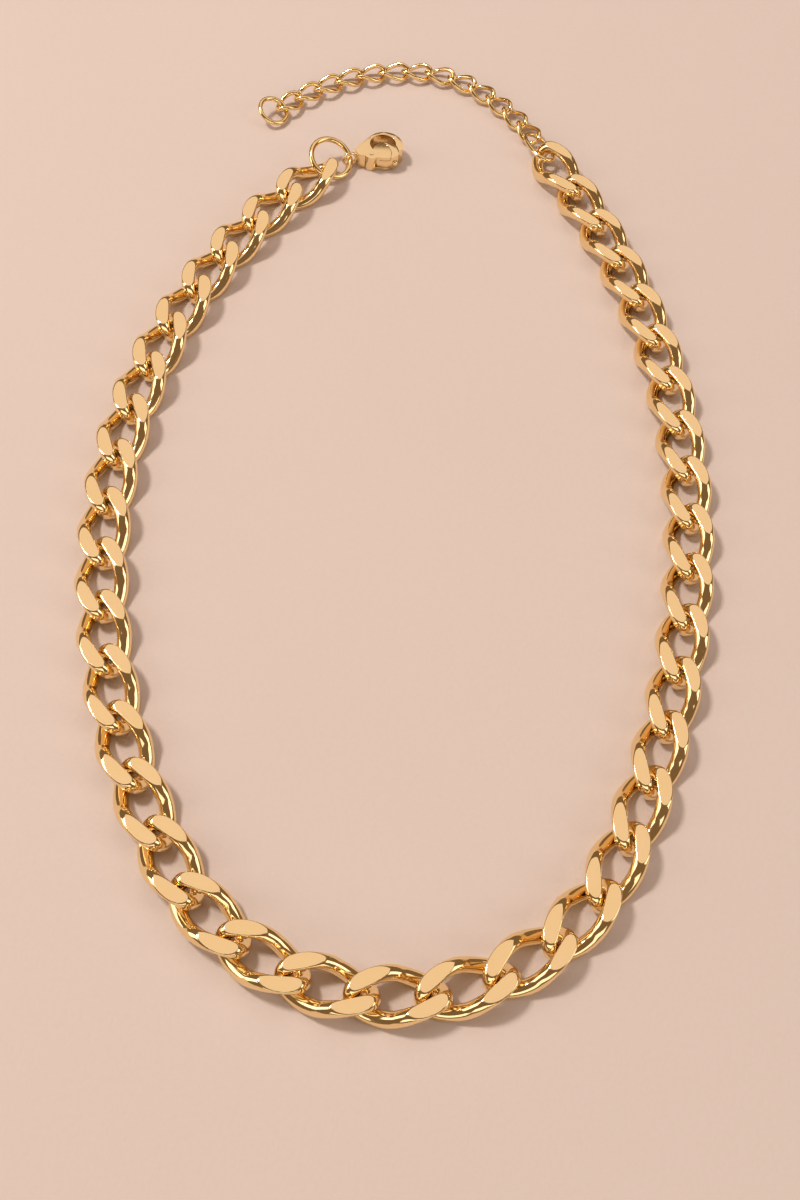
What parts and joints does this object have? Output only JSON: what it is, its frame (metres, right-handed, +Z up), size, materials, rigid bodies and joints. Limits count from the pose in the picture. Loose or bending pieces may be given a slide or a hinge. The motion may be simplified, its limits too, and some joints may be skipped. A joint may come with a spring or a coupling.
{
  "type": "chain necklace",
  "caption": "Open curb chain necklace of flat-filed twisted oval links, with a lobster clasp on a jump ring and a fine extender chain that ends in a ring.",
  "frame": {"origin": "the middle of the laid-out necklace, on the surface it lies on", "axes": "+Y from the front of the loop to the clasp end, +Z up out of the surface, +X to the right"},
  "size_m": [0.1072, 0.1982, 0.0049],
  "materials": {
    "chain_gold": "high polish gold plate with flat filed faces",
    "ring_gold": "polished gold plated round wire",
    "clasp_gold": "polished gold plated casting",
    "spring_steel": "bright drawn spring wire"
  },
  "bodies": {
    "front_link": {"curb_link_20": "chain_gold"},
    "curb_link_01": {"curb_link_01": "chain_gold"},
    "curb_link_02": {"curb_link_02": "chain_gold"},
    "curb_link_03": {"curb_link_03": "chain_gold"},
    "curb_link_04": {"curb_link_04": "chain_gold"},
    "curb_link_05": {"curb_link_05": "chain_gold"},
    "curb_link_06": {"curb_link_06": "chain_gold"},
    "curb_link_07": {"curb_link_07": "chain_gold"},
    "curb_link_08": {"curb_link_08": "chain_gold"},
    "curb_link_09": {"curb_link_09": "chain_gold"},
    "curb_link_10": {"curb_link_10": "chain_gold"},
    "curb_link_11": {"curb_link_11": "chain_gold"},
    "curb_link_12": {"curb_link_12": "chain_gold"},
    "curb_link_13": {"curb_link_13": "chain_gold"},
    "curb_link_14": {"curb_link_14": "chain_gold"},
    "curb_link_15": {"curb_link_15": "chain_gold"},
    "curb_link_16": {"curb_link_16": "chain_gold"},
    "curb_link_17": {"curb_link_17": "chain_gold"},
    "curb_link_18": {"curb_link_18": "chain_gold"},
    "curb_link_19": {"curb_link_19": "chain_gold"},
    "curb_link_21": {"curb_link_21": "chain_gold"},
    "curb_link_22": {"curb_link_22": "chain_gold"},
    "curb_link_23": {"curb_link_23": "chain_gold"},
    "curb_link_24": {"curb_link_24": "chain_gold"},
    "curb_link_25": {"curb_link_25": "chain_gold"},
    "curb_link_26": {"curb_link_26": "chain_gold"},
    "curb_link_27": {"curb_link_27": "chain_gold"},
    "curb_link_28": {"curb_link_28": "chain_gold"},
    "curb_link_29": {"curb_link_29": "chain_gold"},
    "curb_link_30": {"curb_link_30": "chain_gold"},
    "curb_link_31": {"curb_link_31": "chain_gold"},
    "curb_link_32": {"curb_link_32": "chain_gold"},
    "curb_link_33": {"curb_link_33": "chain_gold"},
    "curb_link_34": {"curb_link_34": "chain_gold"},
    "curb_link_35": {"curb_link_35": "chain_gold"},
    "curb_link_36": {"curb_link_36": "chain_gold"},
    "curb_link_37": {"curb_link_37": "chain_gold"},
    "curb_link_38": {"curb_link_38": "chain_gold"},
    "curb_link_39": {"curb_link_39": "chain_gold"},
    "jump_ring": {"jump_ring": "ring_gold"},
    "clasp": {"clasp_body": "clasp_gold", "clasp_pin": "clasp_gold", "clasp_spring": "spring_steel"},
    "clasp_lever": {"clasp_lever": "clasp_gold"},
    "connector_ring": {"connector_ring": "ring_gold"},
    "extender_link_01": {"extender_link_01": "ring_gold"},
    "extender_link_02": {"extender_link_02": "ring_gold"},
    "extender_link_03": {"extender_link_03": "ring_gold"},
    "extender_link_04": {"extender_link_04": "ring_gold"},
    "extender_link_05": {"extender_link_05": "ring_gold"},
    "extender_link_06": {"extender_link_06": "ring_gold"},
    "extender_link_07": {"extender_link_07": "ring_gold"},
    "extender_link_08": {"extender_link_08": "ring_gold"},
    "extender_link_09": {"extender_link_09": "ring_gold"},
    "extender_link_10": {"extender_link_10": "ring_gold"},
    "extender_link_11": {"extender_link_11": "ring_gold"},
    "extender_link_12": {"extender_link_12": "ring_gold"},
    "extender_link_13": {"extender_link_13": "ring_gold"},
    "end_ring": {"end_ring": "ring_gold"}
  },
  "joints": [
    {"name": "flex_19", "type": "hinge", "parent": "front_link", "child": "curb_link_19", "pos_m": [0.00386, -0.09532, 0.0023], "axis": [0, 0, 1], "range_deg": [-0.5, 31]},
    {"name": "flex_18", "type": "hinge", "parent": "curb_link_19", "child": "curb_link_18", "pos_m": [-0.00605, -0.094, 0.0023], "axis": [0, 0, 1], "range_deg": [-0.5, 31]},
    {"name": "flex_17", "type": "hinge", "parent": "curb_link_18", "child": "curb_link_17", "pos_m": [-0.01527, -0.09013, 0.0023], "axis": [0, 0, 1], "range_deg": [-0.5, 31]},
    {"name": "flex_16", "type": "hinge", "parent": "curb_link_17", "child": "curb_link_16", "pos_m": [-0.02316, -0.08399, 0.0023], "axis": [0, 0, 1], "range_deg": [-0.5, 31]},
    {"name": "flex_15", "type": "hinge", "parent": "curb_link_16", "child": "curb_link_15", "pos_m": [-0.02918, -0.076, 0.0023], "axis": [0, 0, 1], "range_deg": [-10.5, 6.5]},
    {"name": "flex_14", "type": "hinge", "parent": "curb_link_15", "child": "curb_link_14", "pos_m": [-0.03443, -0.06749, 0.0023], "axis": [0, 0, 1], "range_deg": [-10.5, 5.5]},
    {"name": "flex_13", "type": "hinge", "parent": "curb_link_14", "child": "curb_link_13", "pos_m": [-0.03887, -0.05853, 0.0023], "axis": [0, 0, 1], "range_deg": [-10.5, 6.5]},
    {"name": "flex_12", "type": "hinge", "parent": "curb_link_13", "child": "curb_link_12", "pos_m": [-0.04245, -0.04919, 0.0023], "axis": [0, 0, 1], "range_deg": [-11.5, 6.5]},
    {"name": "flex_11", "type": "hinge", "parent": "curb_link_12", "child": "curb_link_11", "pos_m": [-0.04532, -0.03961, 0.0023], "axis": [0, 0, 1], "range_deg": [-11.5, 6.5]},
    {"name": "flex_10", "type": "hinge", "parent": "curb_link_11", "child": "curb_link_10", "pos_m": [-0.04746, -0.02985, 0.0023], "axis": [0, 0, 1], "range_deg": [-11.5, 7.5]},
    {"name": "flex_09", "type": "hinge", "parent": "curb_link_10", "child": "curb_link_09", "pos_m": [-0.04885, -0.01994, 0.0023], "axis": [0, 0, 1], "range_deg": [-11, 8.5]},
    {"name": "flex_08", "type": "hinge", "parent": "curb_link_09", "child": "curb_link_08", "pos_m": [-0.04937, -0.00996, 0.0023], "axis": [0, 0, 1], "range_deg": [-11, 9.5]},
    {"name": "flex_07", "type": "hinge", "parent": "curb_link_08", "child": "curb_link_07", "pos_m": [-0.04902, 0.00004, 0.0023], "axis": [0, 0, 1], "range_deg": [-11, 10.5]},
    {"name": "flex_06", "type": "hinge", "parent": "curb_link_07", "child": "curb_link_06", "pos_m": [-0.0478, 0.00996, 0.0023], "axis": [0, 0, 1], "range_deg": [-11, 12.5]},
    {"name": "flex_05", "type": "hinge", "parent": "curb_link_06", "child": "curb_link_05", "pos_m": [-0.04578, 0.01976, 0.0023], "axis": [0, 0, 1], "range_deg": [-11, 14.5]},
    {"name": "flex_04", "type": "hinge", "parent": "curb_link_05", "child": "curb_link_04", "pos_m": [-0.04297, 0.02935, 0.0023], "axis": [0, 0, 1], "range_deg": [-11, 17.5]},
    {"name": "flex_03", "type": "hinge", "parent": "curb_link_04", "child": "curb_link_03", "pos_m": [-0.03939, 0.03869, 0.0023], "axis": [0, 0, 1], "range_deg": [-11, 21]},
    {"name": "flex_02", "type": "hinge", "parent": "curb_link_03", "child": "curb_link_02", "pos_m": [-0.035, 0.04768, 0.0023], "axis": [0, 0, 1], "range_deg": [-11, 21]},
    {"name": "flex_01", "type": "hinge", "parent": "curb_link_02", "child": "curb_link_01", "pos_m": [-0.02985, 0.05625, 0.0023], "axis": [0, 0, 1], "range_deg": [-11, 21]},
    {"name": "flex_21", "type": "hinge", "parent": "front_link", "child": "curb_link_21", "pos_m": [0.01378, -0.09402, 0.0023], "axis": [0, 0, 1], "range_deg": [-31, 0.5]},
    {"name": "flex_22", "type": "hinge", "parent": "curb_link_21", "child": "curb_link_22", "pos_m": [0.02301, -0.09017, 0.0023], "axis": [0, 0, 1], "range_deg": [-31, 0.5]},
    {"name": "flex_23", "type": "hinge", "parent": "curb_link_22", "child": "curb_link_23", "pos_m": [0.03092, -0.08405, 0.0023], "axis": [0, 0, 1], "range_deg": [-31, 0.5]},
    {"name": "flex_24", "type": "hinge", "parent": "curb_link_23", "child": "curb_link_24", "pos_m": [0.03695, -0.07608, 0.0023], "axis": [0, 0, 1], "range_deg": [-31, 0.5]},
    {"name": "flex_25", "type": "hinge", "parent": "curb_link_24", "child": "curb_link_25", "pos_m": [0.0407, -0.0668, 0.0023], "axis": [0, 0, 1], "range_deg": [-20.5, 7.5]},
    {"name": "flex_26", "type": "hinge", "parent": "curb_link_25", "child": "curb_link_26", "pos_m": [0.0437, -0.05727, 0.0023], "axis": [0, 0, 1], "range_deg": [-20.5, 8.5]},
    {"name": "flex_27", "type": "hinge", "parent": "curb_link_26", "child": "curb_link_27", "pos_m": [0.04595, -0.04752, 0.0023], "axis": [0, 0, 1], "range_deg": [-19, 8.5]},
    {"name": "flex_28", "type": "hinge", "parent": "curb_link_27", "child": "curb_link_28", "pos_m": [0.04763, -0.03766, 0.0023], "axis": [0, 0, 1], "range_deg": [-19, 9.5]},
    {"name": "flex_29", "type": "hinge", "parent": "curb_link_28", "child": "curb_link_29", "pos_m": [0.04874, -0.02772, 0.0023], "axis": [0, 0, 1], "range_deg": [-19, 9.5]},
    {"name": "flex_30", "type": "hinge", "parent": "curb_link_29", "child": "curb_link_30", "pos_m": [0.04926, -0.01774, 0.0023], "axis": [0, 0, 1], "range_deg": [-19.5, 10.8]},
    {"name": "flex_31", "type": "hinge", "parent": "curb_link_30", "child": "curb_link_31", "pos_m": [0.04914, -0.00774, 0.0023], "axis": [0, 0, 1], "range_deg": [-19.5, 12]},
    {"name": "flex_32", "type": "hinge", "parent": "curb_link_31", "child": "curb_link_32", "pos_m": [0.04839, 0.00223, 0.0023], "axis": [0, 0, 1], "range_deg": [-19.5, 12]},
    {"name": "flex_33", "type": "hinge", "parent": "curb_link_32", "child": "curb_link_33", "pos_m": [0.047, 0.01213, 0.0023], "axis": [0, 0, 1], "range_deg": [-20, 12]},
    {"name": "flex_34", "type": "hinge", "parent": "curb_link_33", "child": "curb_link_34", "pos_m": [0.04492, 0.02192, 0.0023], "axis": [0, 0, 1], "range_deg": [-20, 12]},
    {"name": "flex_35", "type": "hinge", "parent": "curb_link_34", "child": "curb_link_35", "pos_m": [0.04216, 0.03153, 0.0023], "axis": [0, 0, 1], "range_deg": [-20, 12]},
    {"name": "flex_36", "type": "hinge", "parent": "curb_link_35", "child": "curb_link_36", "pos_m": [0.03874, 0.04093, 0.0023], "axis": [0, 0, 1], "range_deg": [-19.5, 12.5]},
    {"name": "flex_37", "type": "hinge", "parent": "curb_link_36", "child": "curb_link_37", "pos_m": [0.03475, 0.0501, 0.0023], "axis": [0, 0, 1], "range_deg": [-19.5, 12.5]},
    {"name": "flex_38", "type": "hinge", "parent": "curb_link_37", "child": "curb_link_38", "pos_m": [0.03021, 0.05901, 0.0023], "axis": [0, 0, 1], "range_deg": [-19.5, 12.5]},
    {"name": "flex_39", "type": "hinge", "parent": "curb_link_38", "child": "curb_link_39", "pos_m": [0.02514, 0.06762, 0.0023], "axis": [0, 0, 1], "range_deg": [-19.5, 12.5]},
    {"name": "jump_ring_swing", "type": "hinge", "parent": "curb_link_01", "child": "jump_ring", "pos_m": [-0.02331, 0.06423, 0.0023], "axis": [0, 0, 1], "range_deg": [-20, 20]},
    {"name": "clasp_swing", "type": "hinge", "parent": "jump_ring", "child": "clasp", "pos_m": [-0.01954, 0.0685, 0.0017], "axis": [0, 0, 1], "range_deg": [-15, 15]},
    {"name": "connector_swing", "type": "hinge", "parent": "curb_link_39", "child": "connector_ring", "pos_m": [0.01882, 0.07699, 0.0023], "axis": [0, 0, 1], "range_deg": [-20, 17.5]},
    {"name": "ext_flex_01", "type": "hinge", "parent": "connector_ring", "child": "extender_link_01", "pos_m": [0.0169, 0.08197, 0.0015], "axis": [0, 0, 1], "range_deg": [-20, 14]},
    {"name": "ext_flex_02", "type": "hinge", "parent": "extender_link_01", "child": "extender_link_02", "pos_m": [0.01399, 0.08525, 0.0015], "axis": [0, 0, 1], "range_deg": [-26, 10.5]},
    {"name": "ext_flex_03", "type": "hinge", "parent": "extender_link_02", "child": "extender_link_03", "pos_m": [0.01063, 0.08882, 0.0015], "axis": [0, 0, 1], "range_deg": [-26, 10.5]},
    {"name": "ext_flex_04", "type": "hinge", "parent": "extender_link_03", "child": "extender_link_04", "pos_m": [0.0069, 0.09199, 0.0015], "axis": [0, 0, 1], "range_deg": [-26, 10.5]},
    {"name": "ext_flex_05", "type": "hinge", "parent": "extender_link_04", "child": "extender_link_05", "pos_m": [0.00283, 0.09473, 0.0015], "axis": [0, 0, 1], "range_deg": [-33, 5]},
    {"name": "ext_flex_06", "type": "hinge", "parent": "extender_link_05", "child": "extender_link_06", "pos_m": [-0.00175, 0.09646, 0.0015], "axis": [0, 0, 1], "range_deg": [-33, 5]},
    {"name": "ext_flex_07", "type": "hinge", "parent": "extender_link_06", "child": "extender_link_07", "pos_m": [-0.00661, 0.09708, 0.0015], "axis": [0, 0, 1], "range_deg": [-33, 5]},
    {"name": "ext_flex_08", "type": "hinge", "parent": "extender_link_07", "child": "extender_link_08", "pos_m": [-0.01148, 0.09657, 0.0015], "axis": [0, 0, 1], "range_deg": [-28.5, 8.5]},
    {"name": "ext_flex_09", "type": "hinge", "parent": "extender_link_08", "child": "extender_link_09", "pos_m": [-0.01622, 0.09533, 0.0015], "axis": [0, 0, 1], "range_deg": [-28.5, 8.5]},
    {"name": "ext_flex_10", "type": "hinge", "parent": "extender_link_09", "child": "extender_link_10", "pos_m": [-0.02072, 0.09339, 0.0015], "axis": [0, 0, 1], "range_deg": [-28.5, 8.5]},
    {"name": "ext_flex_11", "type": "hinge", "parent": "extender_link_10", "child": "extender_link_11", "pos_m": [-0.02488, 0.09079, 0.0015], "axis": [0, 0, 1], "range_deg": [-26, 11]},
    {"name": "ext_flex_12", "type": "hinge", "parent": "extender_link_11", "child": "extender_link_12", "pos_m": [-0.02874, 0.08778, 0.0015], "axis": [0, 0, 1], "range_deg": [-26, 11]},
    {"name": "ext_flex_13", "type": "hinge", "parent": "extender_link_12", "child": "extender_link_13", "pos_m": [-0.03226, 0.08437, 0.0015], "axis": [0, 0, 1], "range_deg": [-26, 11]},
    {"name": "end_ring_swing", "type": "hinge", "parent": "extender_link_13", "child": "end_ring", "pos_m": [-0.03514, 0.08071, 0.0015], "axis": [0, 0, 1], "range_deg": [-20, 20]},
    {"name": "clasp_lever_hinge", "type": "hinge", "parent": "clasp", "child": "clasp_lever", "pos_m": [-0.01529, 0.06923, 0.0017], "axis": [0, 0, 1], "range_deg": [0, 18], "stiffness_Nm_per_rad": 0.01}
  ]
}
